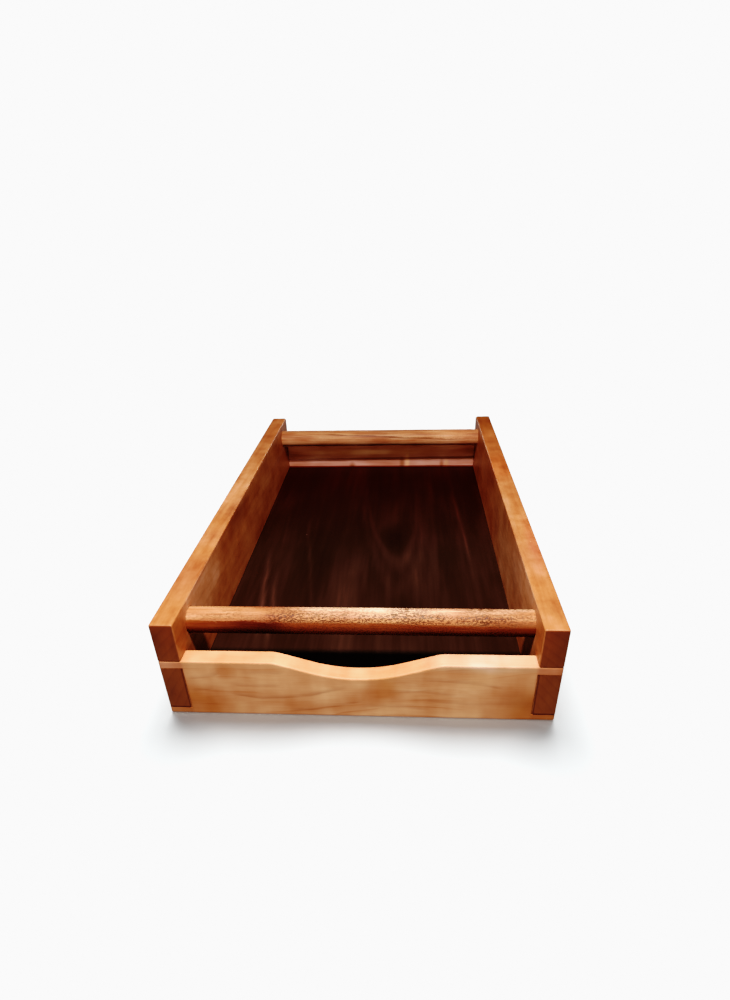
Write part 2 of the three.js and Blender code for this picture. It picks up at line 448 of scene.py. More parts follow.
def side_wood():
    """Warm red-brown wood with a soft cloudy figure; deep red-brown on the sawn ends."""
    s = Shader(bpy.data.materials.new("oiled_side_wood"))
    across = s.place_along(0)
    along = s.place_along(1)
    clouds = s.noise(s.position((1.0, 0.45, 1.0)), 44.0)
    curl = s.noise(s.position((0.3, 1.0, 0.3), (0.3, 0.1, 0.7)), 60.0)
    fibres = s.noise(s.position((1.0, 0.04, 1.0)), 1100.0, 4.0, 0.65)
    streaks = s.noise(s.position((1.0, 0.03, 1.0), (0.5, 0.2, 0.9)), 210.0, 3.0, 0.6)
    mottle = s.noise(s.position((1.0, 0.55, 1.0), (0.2, 0.6, 0.1)), 230.0, 2.0, 0.6)
    phase = s.rings(1, (0.03, 0.0, -0.09), (0.02, 0.0, 0.03), 7.0 * MM, 16.0 * MM, 10.0)
    line = s.ramp(phase, [(0.0, 0.0), (0.6, 0.15), (0.9, 1.0), (1.0, 0.0)])
    depth = s.total(0.5, (clouds, 1.1), (curl, 0.5), (mottle, 0.45), (streaks, 0.3), (fibres, 0.3),
                    (line, -0.10))
    long_grain = s.ramp(depth, [
        (0.15, tone(0.230, 0.072, 0.024)), (0.45, tone(0.320, 0.118, 0.044)),
        (0.62, tone(0.365, 0.148, 0.062)), (0.9, tone(0.440, 0.200, 0.098)),
    ])
    long_grain = side_areas(s, long_grain, across, along)
    dark_specks = s.specks((1.0, 0.5, 1.0), 110.0, 0.10, 0.07)
    long_grain = s.mix(dark_specks, long_grain, tone(0.16, 0.05, 0.02))
    light_specks = s.specks((1.0, 0.7, 1.0), 150.0, 0.10, 0.10)
    long_grain = s.mix(light_specks, long_grain, tone(0.55, 0.30, 0.17))
    colour = s.mix(s.band(s.facing(1), 0.55, 0.9), long_grain, side_end_grain(s, across, line))

    roughness = s.band(s.total(0.5, (streaks, 1.0), (clouds, 0.5)), 0.2, 0.8, 0.38, 0.52)
    height = s.total(0.5, (fibres, 0.8), (line, -0.2))
    return s.finish(colour, roughness, height, 0.05 * MM, 0.1, 0.3)


# Growth lines on the front board's face: where they start and end across, their heights there,
# how far they sag between, strength.
FRONT_LINES = (
    (-0.110, -0.008, 0.0240, 0.0325, 8.5 * MM, 0.55),
    (-0.104, -0.062, 0.0340, 0.0335, 2.0 * MM, 0.35),
    (-0.095, -0.058, 0.0445, 0.0460, -0.8 * MM, 0.30),
    (-0.058, 0.006, 0.0040, 0.0185, 1.0 * MM, 0.45),
    (-0.139, -0.110, 0.0380, 0.0460, 1.5 * MM, 0.30),
    (-0.138, -0.118, 0.0270, 0.0300, 0.5 * MM, 0.25),
    (0.050, 0.118, 0.0430, 0.0340, -1.0 * MM, 0.40),
    (0.020, 0.080, 0.0290, 0.0250, -1.5 * MM, 0.30),
    (0.055, 0.125, 0.0200, 0.0165, 1.5 * MM, 0.28),
    (0.000, 0.060, 0.0120, 0.0080, -1.0 * MM, 0.28),
)

# Orange areas of the front board's face: centre, size, strength.
FRONT_PATCHES = (
    ((0.145, in_front_board, 0.008), (0.050, 0.2, 0.044), 1.0),
    ((-0.135, in_front_board, 0.010), (0.040, 0.2, 0.030), 0.7),
    ((-0.108, in_front_board, 0.047), (0.012, 0.2, 0.010), 0.5),
    ((0.021, in_front_board, 0.030), (0.020, 0.2, 0.026), 0.55),
)

# The rear board's inner face: a pale band and small knots, each with a pale side. Centre, size, cast.
REAR_KNOTS = (
    ((-0.0200, rear_inner, 0.0420), (0.130, 0.006, 0.006), tone(1.22, 1.40, 1.30)),
    ((-0.0430, rear_inner, 0.0200), (0.006, 0.006, 0.008), tone(0.62, 0.52, 0.40)),
    ((0.0330, rear_inner, 0.0240), (0.005, 0.006, 0.012), tone(0.62, 0.55, 0.42)),
    ((0.0410, rear_inner, 0.0260), (0.005, 0.006, 0.014), tone(1.40, 1.55, 1.30)),
    ((0.0930, rear_inner, 0.0230), (0.004, 0.006, 0.009), tone(0.66, 0.55, 0.42)),
    ((0.1000, rear_inner, 0.0240), (0.005, 0.006, 0.010), tone(1.15, 1.20, 1.00)),
)


def front_growth_lines(s, across, up, streaks):
    """Strength of the front board's growth lines: soft curves of uneven darkness."""
    front = s.band(s.place_along(1), 0.0, -0.1)
    wander = s.noise(s.position((0.5, 1.0, 1.0), (0.3, 0.0, 0.8)), 60.0)
    lines = 0.0
    for start, stop, low, high, sag, strength in FRONT_LINES:
        part = s.band(across, start, stop)
        bow = s.times(part, s.math("SUBTRACT", 1.0, part))
        level = s.math("MULTIPLY_ADD", bow, -4 * sag, s.math("MULTIPLY_ADD", part, high - low, low))
        off = s.math("SUBTRACT", up, level)
        off = s.math("MULTIPLY_ADD", wander, 7 * MM, s.math("SUBTRACT", off, 3.5 * MM))
        mark = s.times(s.band(off, -1.5 * MM, 0.0), s.band(off, 4.0 * MM, 0.0))
        mark = s.times(s.times(mark, s.band(bow, 0.0, 0.12)), strength)
        lines = s.math("ADD", lines, mark)
    return s.times(s.times(lines, front), s.band(streaks, 0.30, 0.60, 0.35, 1.0))


def front_areas(s, colour, streaks):
    """The front board: pale streaks, orange patches, a browner right end, a painted sheen on top."""
    streaked = s.spot((0.055, in_front_board, 0.030), (0.06, 0.05, 0.02))
    pale = s.times(s.band(streaks, 0.52, 0.66), streaked)
    colour = s.tint(pale, colour, tone(1.1, 1.2, 1.3))
    patches = s.band(s.noise(s.position((0.6, 1.0, 1.0), (0.2, 0.9, 0.1)), 30.0), 0.46, 0.62, 0.0, 0.35)
    for centre, size, strength in FRONT_PATCHES:
        patches = s.math("MULTIPLY_ADD", s.spot(centre, size, 0.35), strength, patches, clamp=True)
    colour = s.tint(patches, colour, tone(0.66, 0.49, 0.31))
    right_end = s.spot((0.130, in_front_board, 0.020), (0.024, 0.03, 0.020))
    colour = s.tint(right_end, colour, tone(0.80, 0.76, 0.70))
    # Painted sheen: the top edge is made paler toward the right, where the key's gloss would show.
    painted_sheen_on_top = s.spot((0.095, in_front_board, 0.060), (0.065, 0.03, 0.012))
    return s.tint(painted_sheen_on_top, colour, tone(1.08, 1.4, 1.85))


def rear_areas(s, colour, across, up, rear):
    """The rear board's inner face: paler, darker low down, with painted shadow along the edge of the
    rear bar's shadow, painted shade in the corner by the panel, and small knots.
    """
    near_face = s.band(s.place_along(1), rear_inner + 4 * MM, rear_inner + 2 * MM)
    inner_face = s.times(rear, near_face)
    colour = s.tint(inner_face, colour, tone(0.95, 1.05, 1.6))
    lower = s.times(inner_face, s.band(up, 32 * MM, 27 * MM))
    colour = s.tint(lower, colour, tone(0.76, 0.76, 0.82))
    # Painted shadow: a darker band that carries the rear bar's shadow a little lower on the board, its
    # edge slanting across.
    slant = s.math("MULTIPLY_ADD", across, -0.0126, up)
    painted_bar_shadow_strip = s.times(s.band(slant, 28.2 * MM, 29.4 * MM), s.band(slant, 34 * MM, 32 * MM))
    colour = s.tint(s.times(painted_bar_shadow_strip, inner_face), colour, tone(0.50, 0.42, 0.36))
    # Painted shade: a dark line low on the inner face, in the corner where it meets the panel.
    painted_corner_shade = s.times(inner_face, s.band(up, 21.0 * MM, 19.6 * MM))
    colour = s.tint(painted_corner_shade, colour, tone(0.30, 0.14, 0.10))
    for centre, size, cast in REAR_KNOTS:
        colour = s.tint(s.spot(centre, size, 0.3), colour, cast)
    return colour


def finger_tips(s, colour, across, up):
    """The corner fingers are a little darker, the upper ones more so."""
    tip = s.band(s.math("ABSOLUTE", across), inside - 2 * MM, inside + 1 * MM)
    colour = s.tint(tip, colour, tone(0.84, 0.80, 0.80))
    upper = s.times(tip, s.band(up, 10 * MM, 40 * MM))
    return s.tint(upper, colour, tone(1.0, 0.92, 0.98))


def end_wood():
    """Pale tan wood with wavy brown growth lines along the board and orange patches."""
    s = Shader(bpy.data.materials.new("oiled_pale_wood"))
    across = s.place_along(0)
    up = s.place_along(2)
    rear = s.band(s.place_along(1), 0.0, 0.1)
    clouds = s.noise(s.position((0.5, 1.0, 1.0), (0.1, 0.0, 0.4)), 38.0)
    curl = s.noise(s.position((1.0, 0.4, 0.4), (0.6, 0.3, 0.2)), 60.0)
    fibres = s.noise(s.position((0.04, 1.0, 1.0)), 1100.0, 4.0, 0.65)
    streaks = s.noise(s.position((0.12, 1.0, 1.0), (0.7, 0.4, 0.2)), 210.0)
    phase = s.rings(0, (0.0, -0.10, -0.10), (0.0, 0.02, 0.04), 6.5 * MM, 26.0 * MM, 22.0)
    fade = s.band(s.noise(s.position((0.6, 1.0, 1.0), (0.8, 0.2, 0.5)), 30.0), 0.40, 0.60)
    line = s.ramp(phase, [(0.0, 0.0), (0.45, 0.06), (0.78, 0.35), (0.92, 1.0), (1.0, 0.0)])
    line = s.times(line, s.math("MULTIPLY_ADD", s.facing(2), -0.8, fade, clamp=True))
    # On the rear board, ribbons along the grain take the place of the curl across it.
    ribbons = s.noise(s.position((0.10, 1.0, 1.0), (0.5, 0.8, 0.3)), 110.0)
    curl = s.math("MULTIPLY_ADD", s.math("SUBTRACT", ribbons, curl), rear, curl)
    ribbons = s.math("MULTIPLY_ADD", s.math("SUBTRACT", ribbons, 0.5), rear, 0.5)
    depth = s.total(0.5, (clouds, 0.9), (curl, 0.6), (ribbons, 0.8), (fibres, 0.3), (line, -0.24))
    long_grain = s.ramp(depth, [
        (0.05, tone(0.34, 0.130, 0.050)), (0.38, tone(0.49, 0.220, 0.103)),
        (0.60, tone(0.57, 0.280, 0.148)), (0.9, tone(0.68, 0.375, 0.214)),
    ])
    lines = front_growth_lines(s, across, up, streaks)
    long_grain = s.tint(lines, long_grain, tone(0.50, 0.44, 0.36))
    long_grain = front_areas(s, long_grain, streaks)
    long_grain = rear_areas(s, long_grain, across, up, rear)
    long_grain = finger_tips(s, long_grain, across, up)
    dark_specks = s.specks((0.4, 1.0, 1.0), 140.0, 0.08, 0.09)
    long_grain = s.mix(dark_specks, long_grain, tone(0.33, 0.13, 0.05))

    pores = s.noise(s.position(), 1500.0, 3.0, 0.7)
    end_depth = s.total(0.5, (pores, 0.5), (clouds, 0.5), (line, -0.4))
    end_grain = s.ramp(end_depth, [(0.1, tone(0.27, 0.10, 0.045)), (0.9, tone(0.48, 0.21, 0.105))])
    colour = s.mix(s.band(s.facing(0), 0.55, 0.9), long_grain, end_grain)

    roughness = s.band(clouds, 0.3, 0.7, 0.36, 0.5)
    height = s.total(0.5, (fibres, 0.8), (line, -0.2))
    return s.finish(colour, roughness, height, 0.05 * MM, 0.05, 0.3, gleam=0.2)


# The panel's pith: it comes out at a tip, from which it leans across and dips toward the front.
PITH_TIP = 0.240
PITH_PLACE = 12.9 * MM
PITH_LEAN = -0.0625
PITH_DIP = 0.13

# Bands of the arched figure: distance from the pith, half width, strength.
PANEL_ARCHES = (
    (10.5 * MM, 3.0 * MM, 0.10),
    (35.9 * MM, 3.2 * MM, 0.20),
    (42.5 * MM, 4.5 * MM, 0.11),
    (54.0 * MM, 5.0 * MM, 0.05),
)

# Pale streaks of the panel: place across, lean, start and stop along it, half width, strength.
PANEL_STREAKS = (
    (-0.123, -0.12, -0.22, 0.01, 5.0 * MM, 0.34),
    (-0.112, -0.12, -0.24, -0.04, 4.5 * MM, 0.30),
    (-0.076, -0.15, -0.22, 0.09, 4.0 * MM, 0.20),
    (-0.108, -0.05, -0.04, 0.13, 3.0 * MM, 0.12),
    (0.1095, -0.035, -0.14, 0.26, 4.5 * MM, 0.26),
    (0.078, -0.03, 0.12, 0.20, 4.0 * MM, 0.12),
    (-0.035, -0.05, -0.26, 0.05, 26.0 * MM, 0.22),
)


def arched_figure(s, depth, across, along, wander):
    """Flat-sawn figure: pale bands at set distances from the pith, round a dark middle."""
    from_tip = s.math("SUBTRACT", along, PITH_TIP)
    middle = s.math("MULTIPLY_ADD", from_tip, PITH_LEAN, PITH_PLACE)
    from_pith = s.math("SUBTRACT", across, middle)
    depth_down = s.times(from_tip, PITH_DIP)
    squares = s.math("ADD", s.times(from_pith, from_pith), s.times(depth_down, depth_down))
    reach = s.math("SQRT", squares)
    reach = s.math("MULTIPLY_ADD", wander, 4 * MM, s.math("SUBTRACT", reach, 2 * MM))
    for distance, width, strength in PANEL_ARCHES:
        off = s.math("ABSOLUTE", s.math("SUBTRACT", reach, distance))
        arch = s.times(s.band(off, width, 0.2 * width), s.band(along, 0.14, -0.02, 0.4, 1.0))
        depth = s.math("MULTIPLY_ADD", arch, strength, depth)
    dark_middle = s.spot((0.024, 0.020, 0.018), (0.018, 0.045, 1.0))
    return s.math("MULTIPLY_ADD", dark_middle, -0.2, depth)


def pale_streaks(s, depth, across, along, wander):
    """Each streak leans, wanders and fades out at its ends."""
    for centre, lean, start, stop, width, strength in PANEL_STREAKS:
        bent = s.math("MULTIPLY_ADD", along, -lean, s.math("SUBTRACT", across, centre))
        bent = s.math("MULTIPLY_ADD", wander, 8 * MM, s.math("SUBTRACT", bent, 4 * MM))
        middle, half = (start + stop) / 2, (stop - start) / 2
        end_fade = s.band(s.math("ABSOLUTE", s.math("SUBTRACT", along, middle)), half, 0.3 * half)
        mark = s.times(s.band(s.math("ABSOLUTE", bent), width, 0.1 * width), end_fade)
        depth = s.math("MULTIPLY_ADD", mark, strength, depth)
    return depth


def panel_wood():
    """Very dark wood: a pale arched figure opens toward the back, with broad pale streaks."""
    s = Shader(bpy.data.materials.new("satin_dark_panel"))
    across = s.place_along(0)
    along = s.place_along(1)
    fibres = s.noise(s.position((1.0, 0.03, 1.0)), 700.0, 3.0, 0.6)
    streaks = s.noise(s.position((1.0, 0.10, 1.0), (0.4, 0.3, 0.1)), 48.0, 3.0, 0.6)
    broad = s.noise(s.position((1.0, 0.20, 1.0), (0.9, 0.6, 0.4)), 17.0)
    clouds = s.noise(s.position((1.0, 0.6, 1.0)), 22.0)
    wander = s.noise(s.position((0.4, 1.0, 1.0), (0.2, 0.7, 0.5)), 16.0)
    fine = s.noise(s.position((1.0, 0.06, 1.0), (0.1, 0.8, 0.6)), 170.0)
    depth = s.total(0.5, (streaks, 0.5), (broad, 0.5), (clouds, 0.35), (fine, 0.35), (fibres, 0.12))
    depth = arched_figure(s, depth, across, along, wander)
    depth = pale_streaks(s, depth, across, along, wander)

    colour = s.ramp(depth, [
        (0.15, tone(0.0150, 0.0050, 0.0022)), (0.50, tone(0.0230, 0.0100, 0.0050)),
        (0.75, tone(0.0350, 0.0175, 0.0118)), (1.0, tone(0.0650, 0.0315, 0.0245)),
    ])
    redder = s.band(along, -0.02, 0.20)
    colour = s.tint(redder, colour, tone(1.0, 0.24, 0.06))
    colour = s.mix(s.specks((1.0, 1.0, 1.0), 60.0, 0.03, 0.05), colour, tone(0.14, 0.10, 0.09))
    roughness = s.band(s.total(0.5, (clouds, 1.0), (fibres, 0.5)), 0.2, 0.8, 0.48, 0.60)
    return s.finish(colour, roughness, s.total(0.5, (fibres, 0.6)), 0.02 * MM, 0.05, 0.3,
                    gleam=0.15)


# Places along the front bar's shaded front where its painted shade is made deeper: place across, cast.
DUSKY_AREAS = ((-0.080, tone(0.85, 0.78, 0.75)), (0.125, tone(0.62, 0.55, 0.50)))


def heartwood(s, colour, across, ragged, edge, slope):
    """
    The front bar's colour, with dark heartwood round its lower front that also stands for painted shade
    there. It starts where the surface has turned past a ragged edge, which slopes along the bar.
    Painted sheen lies on top, painted shade above the edge and beneath. Also gives how far it is past
    it.
    """
    lean = math.radians(40)
    lower_front = s.turned_to((0.0, -math.cos(lean), -math.sin(lean)))
    # Painted sheen: the top of the bar is made paler and whiter round its middle, where the key's gloss
    # falls.
    painted_sheen_on_bar = s.spot((0.030, front_bar_y, front_bar_high.z), (0.120, 1.0, 1.0))
    painted_sheen_on_bar = s.times(painted_sheen_on_bar, s.band(lower_front, -0.15, -0.60))
    colour = s.tint(painted_sheen_on_bar, colour, tone(1.75, 2.60, 3.60))
    level = s.math("MULTIPLY_ADD", across, slope, edge)
    past = s.math("ADD", s.math("SUBTRACT", lower_front, level), ragged)
    # Painted shade: the lit front of the bar is made darker toward the heartwood edge, as it turns from
    # the key.
    shaded = s.times(s.band(past, -0.50, -0.05), s.band(past, 0.05, -0.02))
    colour = s.tint(shaded, colour, tone(0.88, 0.84, 0.82))
    for place, cast in DUSKY_AREAS:
        dusky = s.times(shaded, s.spot((place, front_bar_y, bar_z), (0.040, 1.0, 1.0)))
        colour = s.tint(dusky, colour, cast)
    # Dark heartwood round the lower front, which is also painted shade on that side of the bar.
    colour = s.tint(s.band(past, -0.03, 0.05), colour, tone(0.38, 0.225, 0.14))
    # Painted shade: the bar is made darker where it faces down, away from the key.
    painted_underside_shade = s.band(s.turned_to(UP), 0.0, -0.6)
    colour = s.tint(painted_underside_shade, colour, tone(0.55, 0.45, 0.4))
    burnt = s.spot((-0.085, front_bar_y, bar_z), (0.035, 1.0, 1.0))
    burnt = s.times(s.band(past, -0.02, 0.12), burnt)
    return s.tint(burnt, colour, tone(0.50, 0.35, 0.3)), past


def seam_line(s, colour, across, ragged, edge, slope):
    """The rear bar's colour, with one dark slanting line, and painted light on its lower front and
    beneath.
    """
    # Painted light: the lower front and the downward faces of the rear bar are made paler, as though
    # the key reached them.
    painted_light_below = s.band(s.turned_to(TO_FRONT), 0.80, 0.98, 0.0, 0.6)
    painted_light_below = s.math("MAXIMUM", painted_light_below, s.band(s.turned_to(DOWN), 0.0, 0.45))
    colour = s.tint(painted_light_below, colour, tone(1.40, 1.65, 1.95))
    level = s.math("MULTIPLY_ADD", across, slope, edge)
    off = s.math("SUBTRACT", s.turned_to(UP), level)
    off = s.math("ABSOLUTE", s.math("MULTIPLY_ADD", ragged, 0.5, off))
    length = s.times(s.band(across, -0.085, -0.06), s.band(across, 0.125, 0.09))
    drawn = s.times(s.band(off, 0.11, 0.02), length)
    return s.tint(drawn, colour, tone(0.40, 0.32, 0.25))


def bar_wood(name, offset, coarse, tint, gleam, casts, clusters=(), heart=None, seam=None):
    """
    Open-pored light wood. coarse is how dark the pores are. Casts (place, half length, colour)
    are areas along the bar; clusters (place, half length) have denser pores. Heart and seam are
    (edge, slope) of those marks.
    """
    s = Shader(bpy.data.materials.new(name))
    across = s.place_along(0)
    fibres = s.noise(s.position((0.03, 1.0, 1.0), offset), 1300.0, 4.0, 0.65)
    streaks = s.noise(s.position((0.05, 1.0, 1.0), offset), 330.0, 3.0, 0.65)
    clouds = s.noise(s.position((0.4, 1.0, 1.0), offset), 55.0)
    pores = s.noise(s.position((0.45, 1.0, 1.0), offset), 1000.0, 3.0, 0.65)
    patches = s.band(s.noise(s.position((0.35, 1.0, 1.0), offset), 60.0), 0.36, 0.52, 0.25, 1.0)
    patches = s.times(patches, s.band(across, -0.12, -0.05, 0.55, 1.0))
    patches = s.times(patches, s.band(s.turned_to(UP), 0.98, 0.86, 0.5, 1.0))
    sparse = pores
    for place, reach in clusters:
        thick = s.spot((place, 0.0, 0.0), (reach, 1.0, 1.0), 0.9)
        patches = s.math("MULTIPLY_ADD", thick, 0.4, patches, clamp=True)
        sparse = s.math("MULTIPLY_ADD", thick, -0.035, sparse)
    pitted = s.times(s.band(sparse, 0.50, 0.43), patches)
    pitted = s.times(pitted, coarse)
    depth = s.total(0.50, (streaks, 1.2), (clouds, 0.8), (fibres, 0.6))
    colour = s.ramp(depth, [
        (0.05, tone(0.17, 0.052, 0.020)), (0.35, tone(0.275, 0.100, 0.045)),
        (0.55, tone(0.350, 0.150, 0.072)), (0.9, tone(0.450, 0.230, 0.125)),
    ])
    colour = s.mix(1.0, colour, tint, "MULTIPLY")
    for place, reach, cast in casts:
        colour = s.tint(s.spot((place, 0.0, 0.0), (reach, 1.0, 1.0)), colour, cast)
    ragged = s.total(0.0, (streaks, 0.7), (pores, 0.3), (clouds, 0.35))
    if heart:
        colour, past = heartwood(s, colour, across, ragged, *heart)
        pitted = s.times(pitted, s.band(past, 0.05, -0.05, 0.3, 1.0))
    colour = s.mix(s.times(pitted, 0.85), colour, tone(0.045, 0.014, 0.006))
    if seam:
        colour = seam_line(s, colour, across, ragged, *seam)

    roughness = s.band(s.total(0.5, (streaks, 1.0), (pores, 0.6)), 0.2, 0.8, 0.40, 0.62)
    height = s.total(0.5, (streaks, 0.7), (pores, 0.6), (pitted, -0.8))
    return s.finish(colour, roughness, height, 0.25 * MM, 0.04, 0.3, gleam)


# Areas and pore clusters along each bar.
FRONT_BAR_CASTS = (
    (-0.145, 0.060, tone(1.14, 1.20, 1.25)),
    (-0.072, 0.016, tone(0.80, 0.68, 0.62)),
)
FRONT_BAR_CLUSTERS = ((-0.060, 0.018), (0.038, 0.022), (0.105, 0.030))
REAR_BAR_CASTS = (
    (0.000, 0.035, tone(0.84, 0.80, 0.80)),
    (0.110, 0.050, tone(1.25, 1.25, 1.30)),
)

side_material = side_wood()
end_material = end_wood()
panel_material = panel_wood()
front_bar_material = bar_wood("open_pored_front_bar", (0.0, 0.0, 0.0), 1.0,
                              tone(1.06, 1.08, 1.08), 0.2, FRONT_BAR_CASTS, FRONT_BAR_CLUSTERS,
                              heart=(0.40, 0.8))
rear_bar_material = bar_wood("open_pored_rear_bar", (0.3, 0.1, 0.2), 0.2,
                             tone(0.82, 0.84, 0.84), 0.12, REAR_BAR_CASTS, seam=(0.47, -3.7))


# ---- Sides --------------------------------------------------------------------------

def side_top(y):
    """Height of a side's top edge, rounding down at its rear corner."""
    into_corner = y - (rear_face - REAR_CORNER_RADIUS)
    if into_corner <= 0:
        return side_height
    drop = REAR_CORNER_RADIUS - math.sqrt(max(0.0, REAR_CORNER_RADIUS ** 2 - into_corner ** 2))
    return side_height - drop


def side_board(node, hand, seed):
    """One side: hand is -1 for the left and +1 for the right."""
    x0, x1 = sorted((hand * inside, hand * outside))
    rings = []
    for y in stations(front_face, rear_face, 3.5 * MM, ARRIS):
        inset = end_inset(min(y - front_face, rear_face - y), ARRIS)
        radius = max(ARRIS - inset, LEAST_ARRIS)
        section = rounded_rectangle(x0 + inset, x1 - inset, inset,
                                    max(side_top(y) - inset, side_height / 2), radius, 6, 24)
        rings.append([(x, y, z) for x, z in reversed(section)])
    board = loft(node + "_board", rings)
    weather(board, seed)

    far = CUTTER_REACH
    gap = JOINT_GAP
    n0, n1 = sorted((hand * (inside - far), hand * (outside + far)))
    g0, g1 = sorted((hand * (inside - far), hand * (inside + GROOVE_DEPTH)))
    b0, b1 = sorted((hand * (inside - far), hand * (inside + SOCKET_DEPTH)))
    front = (front_face - far, front_inner + gap)
    rear = (rear_inner - gap, rear_face + far)
    bore = (front_bar_high.z - front_bar_low.z) / 2 + gap
    cut(board, [
        sawn_block(n0, n1, *front, finger_line - gap, end_height + gap, seed + 1),
        sawn_block(n0, n1, *front, -far, BOTTOM_FINGER + gap, seed + 2),
        sawn_block(n0, n1, *rear, finger_line - gap, end_height + gap, seed + 3),
        sawn_block(n0, n1, *rear, -far, BOTTOM_FINGER + gap, seed + 4),
        sawn_block(g0, g1, front_inner - GROOVE_DEPTH, rear_inner + GROOVE_DEPTH,
                   panel_low.z - gap, panel_high.z + gap, seed + 5, GROOVE_ROUGHNESS, GROOVE_PITCH),
        round_cutter(b0, b1, front_bar_y, bar_z, bore),
        round_cutter(b0, b1, rear_bar_y, bar_z, bore),
    ])
    finish_piece(board, node, side_material)


side_board("left_side", -1, 11)
side_board("right_side", 1, 23)


# ---- End boards ---------------------------------------------------------------------

def scoop_drop(x):
    """Depth of the finger scoop below the front board's straight top edge."""
    angle = SCOOP_FLANK_ANGLE
    shoulder = SCOOP_SHOULDER_RADIUS
    width = SCOOP_WIDTH / 2 - shoulder * math.sin(angle)
    drop = SCOOP_DEPTH - shoulder * (1 - math.cos(angle))
    hollow = (width * math.sin(angle) - drop * math.cos(angle)) / (1 - math.cos(angle))
    reach = abs(x)
    if reach >= SCOOP_WIDTH / 2:
        return 0.0
    if reach >= width:
        run = SCOOP_WIDTH / 2 - reach
        return shoulder - math.sqrt(shoulder ** 2 - run ** 2)
    if reach >= hollow * math.sin(angle):
        return SCOOP_DEPTH - drop + (width - reach) * math.tan(angle)
    return SCOOP_DEPTH - (hollow - math.sqrt(hollow ** 2 - reach ** 2))


def end_board(node, y0, y1, inner, drop_at, seed):
    """
    Front or rear board, its fingers reaching the outer faces of the sides. inner is the place of
    its inner face, and drop_at gives how far its top edge is cut down at each place across.
    """
    rings = []
    for x in stations(-outside, outside, 2.5 * MM, ARRIS):
        inset = end_inset(outside - abs(x), ARRIS)
        radius = max(ARRIS - inset, LEAST_ARRIS)
        section = rounded_rectangle(y0 + inset, y1 - inset, inset,
                                    end_height - drop_at(x) - inset, radius, 5, 20)
        rings.append([(x, y, z) for y, z in section])
    board = loft(node + "_plank", rings)
    weather(board, seed)

    far = CUTTER_REACH
    gap = JOINT_GAP
    groove = sorted((inner + math.copysign(GROOVE_DEPTH, inner), inner - math.copysign(far, inner)))
    cutters = [sawn_block(-inside, inside, *groove, panel_low.z - gap, panel_high.z + gap,
                          seed + 1, GROOVE_ROUGHNESS, GROOVE_PITCH)]
    for hand in (-1, 1):
        p0, p1 = sorted((hand * (inside - gap), hand * (outside + far)))
        cutters.append(sawn_block(p0, p1, y0 - far, y1 + far, BOTTOM_FINGER, finger_line,
                                  seed + 3 + hand))
    cut(board, cutters)
    finish_piece(board, node, end_material)


end_board("front_board", front_face, front_inner, front_inner, scoop_drop, 37)
end_board("rear_board", rear_inner, rear_face, rear_inner, lambda x: 0.0, 41)


# ---- Bottom panel -------------------------------------------------------------------

def bottom_panel(seed):
    """Flat sheet with eased edges. Most of what shows of it is its grain."""
    radius = 0.6 * MM
    rings = []
    for y in stations(panel_low.y, panel_high.y, 5 * MM, radius, steps=2):
        inset = end_inset(min(y - panel_low.y, panel_high.y - y), radius)
        section = rounded_rectangle(
            panel_low.x + inset, panel_high.x - inset, panel_low.z + inset,
            panel_high.z - inset, max(radius - inset, LEAST_ARRIS), 60, 2, steps=2)
        rings.append([(x, y, z) for x, z in reversed(section)])
    panel = loft("panel_sheet", rings)
    weather(panel, seed, 0.16 * MM, 0.2 * MM)
    finish_piece(panel, "bottom_panel", panel_material)


bottom_panel(53)


# ---- Bars ---------------------------------------------------------------------------

def bar(node, low, high, seed, material):
    """Round bar along X, not quite round and with open grain along it, as dowel stock has."""
    y, z = (low.y + high.y) / 2, (low.z + high.z) / 2
    full = (high.z - low.z) / 2
    ease = 0.8 * MM
    offset = Vector((seed * 1.3, seed * 2.9, seed * 0.7))
    rings = []
    for x in stations(low.x, high.x, 2.0 * MM, ease, steps=3):
        inset = end_inset(min(x - low.x, high.x - x), ease)
        ring = []
        for i in range(BAR_SIDES):
            angle = 2 * math.pi * i / BAR_SIDES
            side = Vector((0, math.cos(angle), math.sin(angle)))
            swell = 0.5 + 0.5 * noise.noise(Vector((x * 9, 0, 0)) + side * 0.9 + offset)
            grain = 0.5 + 0.5 * noise.noise(Vector((x * 45, 0, 0)) + side * 7.0 + offset)
            radius = full - inset - BAR_SWELL * max(swell, 0.0) - BAR_GRAIN * max(grain, 0.0)
            ring.append((x, y + radius * math.cos(angle), z + radius * math.sin(angle)))
        rings.append(ring)
    piece = loft(node + "_bar", rings)
    finish_piece(piece, node, material)


bar("front_dowel", front_bar_low, front_bar_high, 61, front_bar_material)
bar("rear_dowel", rear_bar_low, rear_bar_high, 67, rear_bar_material)


# ---- Floor, light and camera --------------------------------------------------------

# How scene brightness becomes picture brightness: deep shadows, and lights that roll off slowly.
FILM_CURVE = ((0.0, 0.0), (0.013, 0.0026), (0.029, 0.009), (0.053, 0.033), (0.086, 0.084),
              (0.127, 0.15), (0.18, 0.245), (0.24, 0.34), (0.356, 0.47), (0.55, 0.67), (1.0, 0.955))


def link(thing):
    bpy.context.scene.collection.objects.link(thing)
    return thing


